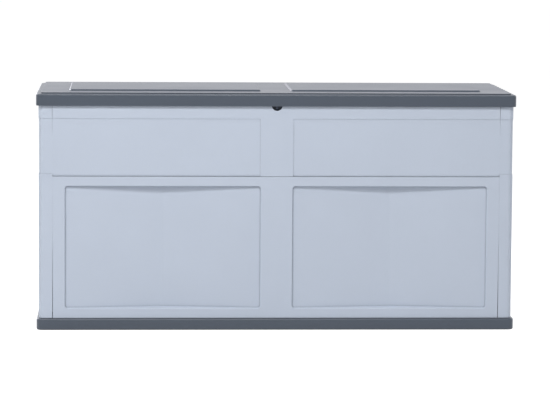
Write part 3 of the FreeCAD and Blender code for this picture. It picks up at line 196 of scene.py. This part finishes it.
def make_floor():
    """A wide pale floor that looks white and keeps the box's shadow."""
    bm = bmesh.new()
    bmesh.ops.create_grid(bm, x_segments=1, y_segments=1, size=FLOOR_REACH)
    mesh = bpy.data.meshes.new("floor")
    bm.to_mesh(mesh)
    bm.free()
    floor = bpy.data.objects.new("floor", mesh)
    bpy.context.scene.collection.objects.link(floor)
    material = bpy.data.materials.new("floor")
    tree = clear_tree(material)
    bounced = add_node(tree, "ShaderNodeBsdfDiffuse", inputs={"Color": FLOOR_BOUNCE})
    paint = add_node(tree, "ShaderNodeBsdfDiffuse", inputs={"Color": FLOOR_PAINT})
    glow = add_node(tree, "ShaderNodeEmission", inputs={"Color": WHITE, "Strength": FLOOR_GLOW})
    seen = add_node(tree, "ShaderNodeAddShader", inputs={0: paint.outputs[0], 1: glow.outputs[0]})
    add_node(tree, "ShaderNodeOutputMaterial", inputs={0: lit_or_seen(tree, bounced, seen)})
    mesh.materials.append(material)


def area_light(name, spot, target, size, power, colour):
    """A rectangular light at a spot, turned to its target."""
    data = bpy.data.lights.new(name, "AREA")
    data.shape = "RECTANGLE"
    data.size, data.size_y = size
    data.energy = power
    data.color = colour
    lamp = bpy.data.objects.new(name, data)
    aim = (Vector(target) - Vector(spot)).to_track_quat("-Z", "Y").to_matrix().to_4x4()
    lamp.matrix_world = Matrix.Translation(spot) @ aim
    bpy.context.scene.collection.objects.link(lamp)


bpy.context.scene.view_settings.view_transform = "Standard"
make_camera()
make_world()
make_floor()
for light in LIGHTS:
    area_light(*light)


# Materials
def shade(colour, tone):
    """The colour multiplied by a tone."""
    return (*(value * tone for value in colour), 1)


def blend(tree, factor, first, second):
    """A colour between two, each a socket or a colour."""
    mix = add_node(tree, "ShaderNodeMix", data_type="RGBA")
    for socket, value in ((mix.inputs[0], factor), (mix.inputs[6], first), (mix.inputs[7], second)):
        if isinstance(value, bpy.types.NodeSocket):
            tree.links.new(value, socket)
        else:
            socket.default_value = value
    return mix.outputs[2]


def spread(tree, value, low, high, to_low=0.0, to_high=1.0):
    """A value carried from the range low..high to another range, and kept inside it."""
    found = add_node(tree, "ShaderNodeMapRange", inputs={
        "Value": value, "From Min": low, "From Max": high, "To Min": to_low, "To Max": to_high})
    return found.outputs[0]


def covered(tree, tone, mask, share, cover):
    """The tone, with a share of the cover laid over it where the mask is 1."""
    return blend(tree, spread(tree, mask, 0, 1, 0, share), tone, cover)


def noise(tree, spots, scale, detail=3.0, stretch=(1, 1, 1)):
    """Soft noise from 0 to 1, finer along an axis with a larger stretch."""
    placed = add_node(tree, "ShaderNodeMapping", inputs={"Vector": spots, "Scale": stretch})
    found = add_node(tree, "ShaderNodeTexNoise", inputs={
        "Vector": placed.outputs[0], "Scale": scale, "Detail": detail,
        "Roughness": NOISE_ROUGHNESS})
    return found.outputs["Fac"]


def match(tree, first, second):
    """How far two directions agree, as their dot product."""
    found = add_node(tree, "ShaderNodeVectorMath", operation="DOT_PRODUCT",
                     inputs={0: first, 1: second})
    return found.outputs["Value"]


def edge_mask(tree):
    """Rises from 0 to 1 towards the sharp edges of a piece."""
    rounded = add_node(tree, "ShaderNodeBevel", samples=MASK_SAMPLES,
                       inputs={"Radius": EDGE_REACH})
    plain = add_node(tree, "ShaderNodeNewGeometry")
    return spread(tree, match(tree, rounded.outputs[0], plain.outputs["Normal"]), *EDGE_RANGE)


def painted_highlight_mask(tree):
    """Rises from 0 to 1 on chamfers that look up and to the left, where the light falls: the mask of
    a painted highlight.
    """
    facing = add_node(tree, "ShaderNodeTexCoord").outputs["Normal"]
    return spread(tree, match(tree, facing, PAINTED_HIGHLIGHT_FACING), *PAINTED_HIGHLIGHT_RANGE)


def painted_shade_mask(tree):
    """Rises from 0 to 1 in the corners and joints, where shade falls: the mask of a painted shade.
    """
    shut = add_node(tree, "ShaderNodeAmbientOcclusion", samples=MASK_SAMPLES,
                    inputs={"Distance": PAINTED_SHADE_REACH})
    return spread(tree, shut.outputs["AO"], *PAINTED_SHADE_RANGE)


def bumped(tree, height, distance, strength, under=None):
    """The normal of a bumpy surface, over the normal of another where one is given."""
    inputs = {"Height": height, "Distance": distance, "Strength": strength}
    if under is not None:
        inputs["Normal"] = under
    return add_node(tree, "ShaderNodeBump", inputs=inputs).outputs[0]


def moulded_resin(name, colour, roughness, wear_and_highlight, waves=0.0, painted_highlight=0.0, dust=0.0):
    """Injection-moulded resin with mould grain, a cloudy tone and painted shade in its corners. The
    last four values say how strong its paler edges (part wear, part painted highlight), flow waves,
    painted highlight on chamfers that face up and left, and dusty sheen are."""
    material = bpy.data.materials.new(name)
    tree = clear_tree(material)
    spots = add_node(tree, "ShaderNodeTexCoord").outputs["Object"]
    clouds = noise(tree, spots, **CLOUDS)
    specks = noise(tree, spots, **SPECKS)
    scuffs = spread(tree, noise(tree, spots, **SCUFFS), *SCUFF_RANGE)
    tone = blend(tree, clouds, *(shade(colour, tone) for tone in CLOUD_TONES))
    specks = spread(tree, specks, *SPECK_RANGE, 0.0, SPECK_SHARE)
    tone = blend(tree, specks, tone, shade(colour, SPECK_TONE))
    # Paler edges, part wear and part painted highlight
    tone = covered(tree, tone, edge_mask(tree), wear_and_highlight, shade(colour, EDGE_WEAR_AND_HIGHLIGHT_TONE))
    # Painted highlight on chamfers that face up and to the left
    tone = covered(tree, tone, painted_highlight_mask(tree), painted_highlight, shade(PAINTED_HIGHLIGHT_COLOUR, 1))
    # Painted shade darkens the corners and joints
    tone = covered(tree, tone, painted_shade_mask(tree), PAINTED_SHADE_SHARE, shade(colour, PAINTED_SHADE_TONE))
    base = spread(tree, clouds, *MIDDLE_RANGE,
                  roughness - CLOUD_ROUGHNESS, roughness + CLOUD_ROUGHNESS)
    gloss = add_node(tree, "ShaderNodeMath", operation="MULTIPLY_ADD",
                     inputs={0: scuffs, 1: SCUFF_ROUGHNESS, 2: base}).outputs[0]
    flow = bumped(tree, noise(tree, spots, **FLOW), FLOW_HEIGHT, waves)
    cells = add_node(tree, "ShaderNodeTexVoronoi", feature="SMOOTH_F1",
                     inputs={"Vector": spots, "Scale": GRAIN_SCALE})
    grain = bumped(tree, cells.outputs["Distance"], *GRAIN_BUMP, flow)
    grain = bumped(tree, noise(tree, spots, **FINE_GRAIN), *FINE_GRAIN_BUMP, grain)
    shader = add_node(tree, "ShaderNodeBsdfPrincipled", inputs={
        "Base Color": tone, "Roughness": gloss, "Normal": grain, "IOR": RESIN_IOR,
        "Sheen Weight": dust, "Sheen Roughness": SHEEN_ROUGHNESS, "Sheen Tint": SHEEN_TINT})
    add_node(tree, "ShaderNodeOutputMaterial", inputs={0: shader.outputs[0]})
    return material


def plated_steel(name, turned):
    """Zinc-plated steel with fine turning marks round one axis and a dull bloom."""
    material = bpy.data.materials.new(name)
    tree = clear_tree(material)
    spots = add_node(tree, "ShaderNodeTexCoord").outputs["Object"]
    marks = noise(tree, spots, **MARKS, stretch=turned)
    bloom = noise(tree, spots, **BLOOM)
    tone = blend(tree, bloom, *(shade(STEEL_COLOUR, tone) for tone in BLOOM_TONES))
    gloss = spread(tree, bloom, *MIDDLE_RANGE, *BLOOM_ROUGHNESS)
    shader = add_node(tree, "ShaderNodeBsdfPrincipled", inputs={
        "Base Color": tone, "Metallic": 1.0, "Roughness": gloss,
        "Normal": bumped(tree, marks, *MARK_BUMP)})
    add_node(tree, "ShaderNodeOutputMaterial", inputs={0: shader.outputs[0]})
    return material


materials = {
    "wall_resin": moulded_resin("wall_resin", WALL_COLOUR, roughness=0.48, wear_and_highlight=0.25, waves=0.05),
    "dark_resin": moulded_resin("dark_resin", DARK_COLOUR, roughness=0.34, wear_and_highlight=0.9, waves=0.10,
                                painted_highlight=1.0, dust=0.12),
    "fitting_resin": moulded_resin("fitting_resin", FITTING_COLOUR, roughness=0.40, wear_and_highlight=0.35),
    "pin_steel": plated_steel("pin_steel", turned=(60, 1, 1)),
    "screw_steel": plated_steel("screw_steel", turned=(1, 1, 12)),
    "peg_resin": moulded_resin("peg_resin", PEG_COLOUR, roughness=0.48, wear_and_highlight=0.25),
}
slot_of = {part["node"]: part["material_slot"] for part in frame["record"]["subparts"]}
for name, node in frame["nodes"].items():
    node.data.materials.clear()
    node.data.materials.append(materials[slot_of[name]])


# Screws, shaped in millimetres with the head's crown at z = 0 and the tip below, then set where
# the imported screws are. A profile is a head's radii and heights from its crown to its shank.
PAN_PROFILE = ((2.05, 0.0), (2.32, -0.12), (2.95, -0.90), (3.55, -1.70), (3.78, -1.90),
               (3.62, -2.0))
FLUSH_PROFILE = ((3.55, 0.0), (3.76, -0.12), (3.70, -0.28), (1.95, -1.95))
SCREW_STEPS = 20
SCREW_CORE = 1.42
THREAD_RADIUS = 1.88
THREAD_PITCH = 1.5
THREAD_ROWS = 6
THREAD_WIDTH = 0.28
THREAD_START = 0.6
TIP_LENGTH = 2.2
TIP_TAPER = 0.12
# The cross in a head: height, reach and half width, above the crown and at the cross's foot
CROSS_LEVELS = ((0.5, 1.75, 0.46), (-1.25, 0.85, 0.24))
SHARP_ANGLE = 32
# The turn between neighbouring screws in radians. Then in metres, how close corners are one, and
# how far from a screw's middle line only its head reaches.
SCREW_TWIST = 0.9
SAME_CORNER = 1e-6
HEAD_REACH = 0.003
MM_IN_METRE = 1000
X_AXIS, Y_AXIS, Z_AXIS = range(3)


def add_ring(bm, radii, height):
    """A ring of corners at a height, with a radius for each step round it."""
    corners = []
    for step, radius in enumerate(radii):
        angle = math.tau * step / len(radii)
        corners.append(bm.verts.new((radius * math.cos(angle), radius * math.sin(angle), height)))
    return corners


def join_rings(bm, upper, lower):
    """A wall of four-sided faces between two rings."""
    for step, vert in enumerate(upper):
        after = (step + 1) % len(upper)
        bm.faces.new((vert, lower[step], lower[after], upper[after]))


def thread_radius(depth, span, step):
    """The radius of a screw below its head, at a depth along the span and a step round it."""
    taper = min(1.0, max(TIP_TAPER, (span - depth) / TIP_LENGTH))
    phase = (depth / THREAD_PITCH + step / SCREW_STEPS) % 1.0
    crest = max(0.0, 1.0 - abs(phase - 0.5) / THREAD_WIDTH) * min(1.0, depth / THREAD_START)
    return (SCREW_CORE + (THREAD_RADIUS - SCREW_CORE) * crest) * taper


def screw_blank(profile, length):
    """A turned head on a shank with a rolled thread and a pointed tip, as one closed mesh."""
    bm = bmesh.new()
    rings = [add_ring(bm, [radius] * SCREW_STEPS, height) for radius, height in profile]
    foot = profile[-1][1]
    span = length + foot
    rows = round(span / THREAD_PITCH * THREAD_ROWS)
    for row in range(rows + 1):
        depth = span * row / rows
        radii = [thread_radius(depth, span, step) for step in range(SCREW_STEPS)]
        rings.append(add_ring(bm, radii, foot - depth))
    bm.faces.new(rings[0])
    for upper, lower in zip(rings, rings[1:]):
        join_rings(bm, upper, lower)
    bm.faces.new(reversed(rings[-1]))
    mesh = bpy.data.meshes.new("blank")
    bm.to_mesh(mesh)
    bm.free()
    return mesh


def cross_tool():
    """The tapered cross that a driver bit leaves in a head."""
    bm = bmesh.new()
    outlines = []
    for height, far, near in CROSS_LEVELS:
        corners = ((far, -near), (far, near), (near, near), (near, far), (-near, far), (-near, near),
                   (-far, near), (-far, -near), (-near, -near), (-near, -far), (near, -far),
                   (near, -near))
        outlines.append([bm.verts.new((across, along, height)) for across, along in corners])
    bm.faces.new(outlines[0])
    bm.faces.new(reversed(outlines[1]))
    join_rings(bm, *outlines)
    mesh = bpy.data.meshes.new("cross")
    bm.to_mesh(mesh)
    bm.free()
    return mesh


def cut_screw(profile, length):
    """A screw's mesh with the cross cut in its head."""
    blank = bpy.data.objects.new("blank", screw_blank(profile, length))
    tool = bpy.data.objects.new("tool", cross_tool())
    for thing in (blank, tool):
        bpy.context.scene.collection.objects.link(thing)
    cutter = blank.modifiers.new("cross", "BOOLEAN")
    cutter.operation = "DIFFERENCE"
    cutter.solver = "EXACT"
    cutter.object = tool
    shaped = blank.evaluated_get(bpy.context.evaluated_depsgraph_get())
    mesh = bpy.data.meshes.new_from_object(shaped)
    for thing in (blank, tool):
        bpy.data.objects.remove(thing)
    mesh.shade_smooth()
    mesh.set_sharp_from_angle(angle=math.radians(SHARP_ANGLE))
    return mesh


def islands(mesh):
    """The corners of each separate solid of a mesh, as lists of points."""
    bm = bmesh.new()
    bm.from_mesh(mesh)
    bmesh.ops.remove_doubles(bm, verts=bm.verts, dist=SAME_CORNER)
    seen = set()
    found = []
    for vert in bm.verts:
        if vert in seen:
            continue
        seen.add(vert)
        island, front = [], [vert]
        while front:
            here = front.pop()
            island.append(here.co.copy())
            for edge in here.link_edges:
                other = edge.other_vert(here)
                if other not in seen:
                    seen.add(other)
                    front.append(other)
        found.append(island)
    bm.free()
    return found


def screw_place(points, axis, twist):
    """Where a packed screw stands, crown first and head outward, and its length in millimetres."""
    low = Vector([min(point[i] for point in points) for i in range(3)])
    high = Vector([max(point[i] for point in points) for i in range(3)])
    middle = (low + high) / 2
    along = Vector([i == axis for i in range(3)])
    head = [point for point in points
            if (point - middle - (point - middle)[axis] * along).length > HEAD_REACH]
    side = 1 if sum(point[axis] for point in head) / len(head) > middle[axis] else -1
    crown = middle.copy()
    crown[axis] = high[axis] if side > 0 else low[axis]
    turn = Vector((0, 0, 1)).rotation_difference(side * along).to_matrix().to_4x4()
    shrink = Matrix.Scale(1 / MM_IN_METRE, 4)
    spot = Matrix.Translation(crown) @ turn @ Matrix.Rotation(twist, 4, "Z") @ shrink
    return spot, MM_IN_METRE * (high - low)[axis]


def dress_screws(node_name, body, axis, profile):
    """Cross-recessed screws in the places of a node's plain ones."""
    bm = bmesh.new()
    shaped = None
    for index, points in enumerate(islands(frame["nodes"][node_name].data)):
        spot, length = screw_place(points, axis, SCREW_TWIST * index)
        if shaped is None:
            shaped = cut_screw(profile, length)
        placed = shaped.copy()
        placed.transform(spot)
        bm.from_mesh(placed)
    mesh = bpy.data.meshes.new(node_name + "_dressed")
    bm.to_mesh(mesh)
    bm.free()
    mesh.materials.append(materials["screw_steel"])
    piece = bpy.data.objects.new(node_name + "_dressed", mesh)
    bpy.context.scene.collection.objects.link(piece)
    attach(piece, body)
    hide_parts(node_name)


dress_screws("hinge_box_screws", "box", Y_AXIS, FLUSH_PROFILE)
dress_screws("hinge_lid_screws", "lid", Y_AXIS, FLUSH_PROFILE)
dress_screws("lock_eye_screws", "lid", Z_AXIS, FLUSH_PROFILE)
dress_screws("corner_screws", "box", X_AXIS, PAN_PROFILE)
dress_screws("foot_screws", "box", Z_AXIS, PAN_PROFILE)
